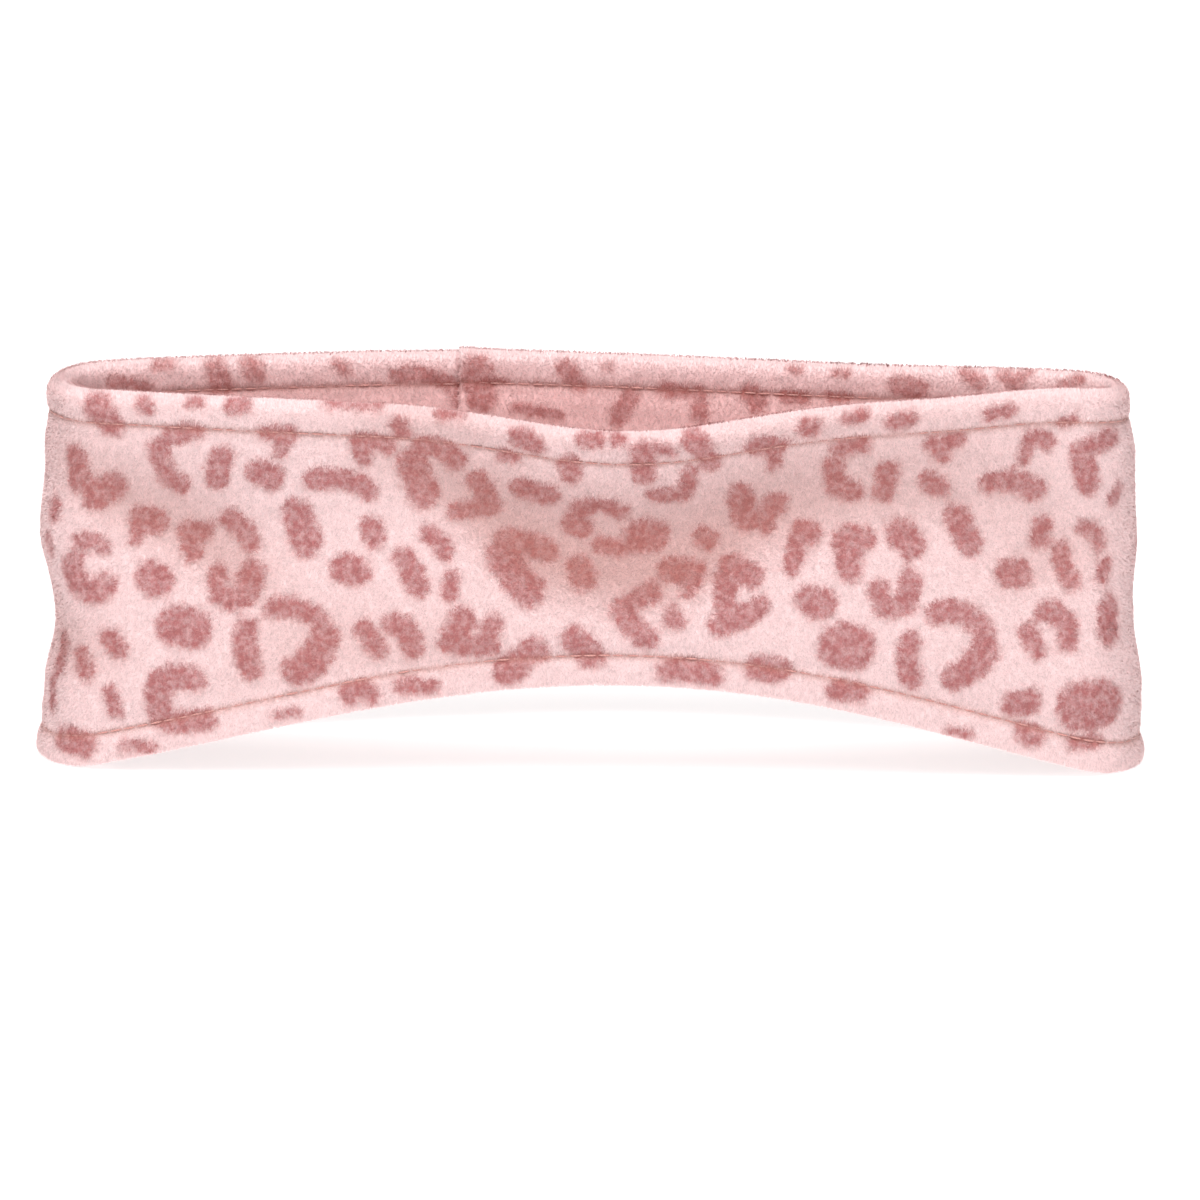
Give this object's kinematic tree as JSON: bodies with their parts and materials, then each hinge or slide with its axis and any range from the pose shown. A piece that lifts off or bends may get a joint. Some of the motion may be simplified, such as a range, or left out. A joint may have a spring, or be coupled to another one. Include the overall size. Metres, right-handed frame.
{
  "type": "fleece headband",
  "caption": "Wide double-layer fleece headband with a leopard print, narrower at the forehead, with topstitched edges and a back seam.",
  "frame": {"origin": "on the surface that the two ear lobes stand on, at the middle of the loop's length and depth", "axes": "+X towards the wearer's left ear, along the loop's length; -Y towards the forehead; +Z from the hem to the upper edge"},
  "size_m": [0.2404, 0.0632, 0.085],
  "materials": {
    "outer_fleece": "soft brushed pile, pale pink with dusty rose leopard spots",
    "lining_fleece": "soft brushed pile, pale pink with dusty rose leopard spots"
  },
  "bodies": {
    "root": {"outer_layer": "outer_fleece", "lining_layer": "lining_fleece"}
  },
  "joints": []
}
